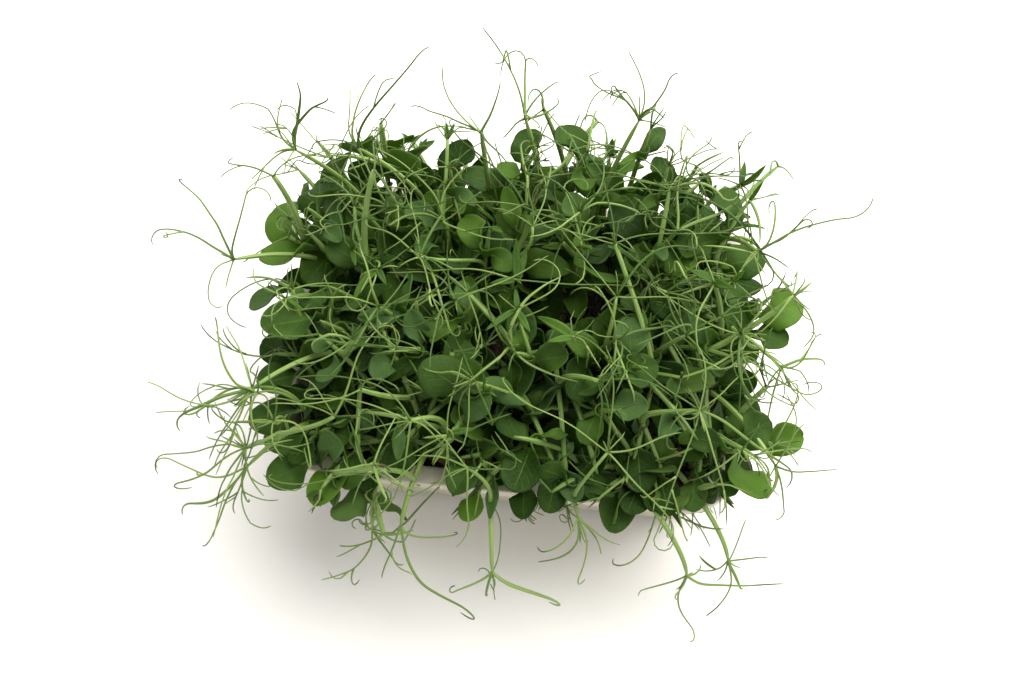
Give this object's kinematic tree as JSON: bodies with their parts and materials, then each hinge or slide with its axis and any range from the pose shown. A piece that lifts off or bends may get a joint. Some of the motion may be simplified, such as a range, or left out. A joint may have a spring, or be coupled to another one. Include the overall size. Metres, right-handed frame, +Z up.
{
  "type": "pea shoot microgreens tray",
  "caption": "Shallow rectangular plastic tray of peat, thickly grown with tendrilled pea shoots that sprawl over its rim.",
  "frame": {"origin": "middle of the tray's flat underside, on the surface it stands on", "axes": "+X along the tray's long side, +Z up; -Y is the side where most shoots hang over the rim"},
  "size_m": [0.2307, 0.1628, 0.1368],
  "materials": {
    "white_plastic": "satin",
    "peat": "matte",
    "stem_green": "satin",
    "leaf_green": "satin"
  },
  "bodies": {
    "root": {"tray": "white_plastic", "growing_medium": "peat", "shoot_01_stem": "stem_green", "shoot_01_leaves": "leaf_green", "shoot_02_stem": "stem_green", "shoot_02_leaves": "leaf_green", "shoot_03_stem": "stem_green", "shoot_03_leaves": "leaf_green", "shoot_04_stem": "stem_green", "shoot_04_leaves": "leaf_green", "shoot_05_stem": "stem_green", "shoot_05_leaves": "leaf_green", "shoot_06_stem": "stem_green", "shoot_06_leaves": "leaf_green", "shoot_07_stem": "stem_green", "shoot_07_leaves": "leaf_green", "shoot_08_stem": "stem_green", "shoot_08_leaves": "leaf_green", "shoot_09_stem": "stem_green", "shoot_09_leaves": "leaf_green", "shoot_10_stem": "stem_green", "shoot_10_leaves": "leaf_green", "shoot_11_stem": "stem_green", "shoot_11_leaves": "leaf_green", "shoot_12_stem": "stem_green", "shoot_12_leaves": "leaf_green", "shoot_13_stem": "stem_green", "shoot_13_leaves": "leaf_green", "shoot_14_stem": "stem_green", "shoot_14_leaves": "leaf_green", "shoot_15_stem": "stem_green", "shoot_15_leaves": "leaf_green", "shoot_16_stem": "stem_green", "shoot_16_leaves": "leaf_green", "shoot_17_stem": "stem_green", "shoot_17_leaves": "leaf_green", "shoot_18_stem": "stem_green", "shoot_18_leaves": "leaf_green", "shoot_19_stem": "stem_green", "shoot_19_leaves": "leaf_green", "shoot_20_stem": "stem_green", "shoot_20_leaves": "leaf_green", "shoot_21_stem": "stem_green", "shoot_21_leaves": "leaf_green", "shoot_22_stem": "stem_green", "shoot_22_leaves": "leaf_green", "shoot_23_stem": "stem_green", "shoot_23_leaves": "leaf_green", "shoot_24_stem": "stem_green", "shoot_24_leaves": "leaf_green", "shoot_25_stem": "stem_green", "shoot_25_leaves": "leaf_green", "shoot_26_stem": "stem_green", "shoot_26_leaves": "leaf_green", "shoot_27_stem": "stem_green", "shoot_27_leaves": "leaf_green", "shoot_28_stem": "stem_green", "shoot_28_leaves": "leaf_green"}
  },
  "joints": []
}
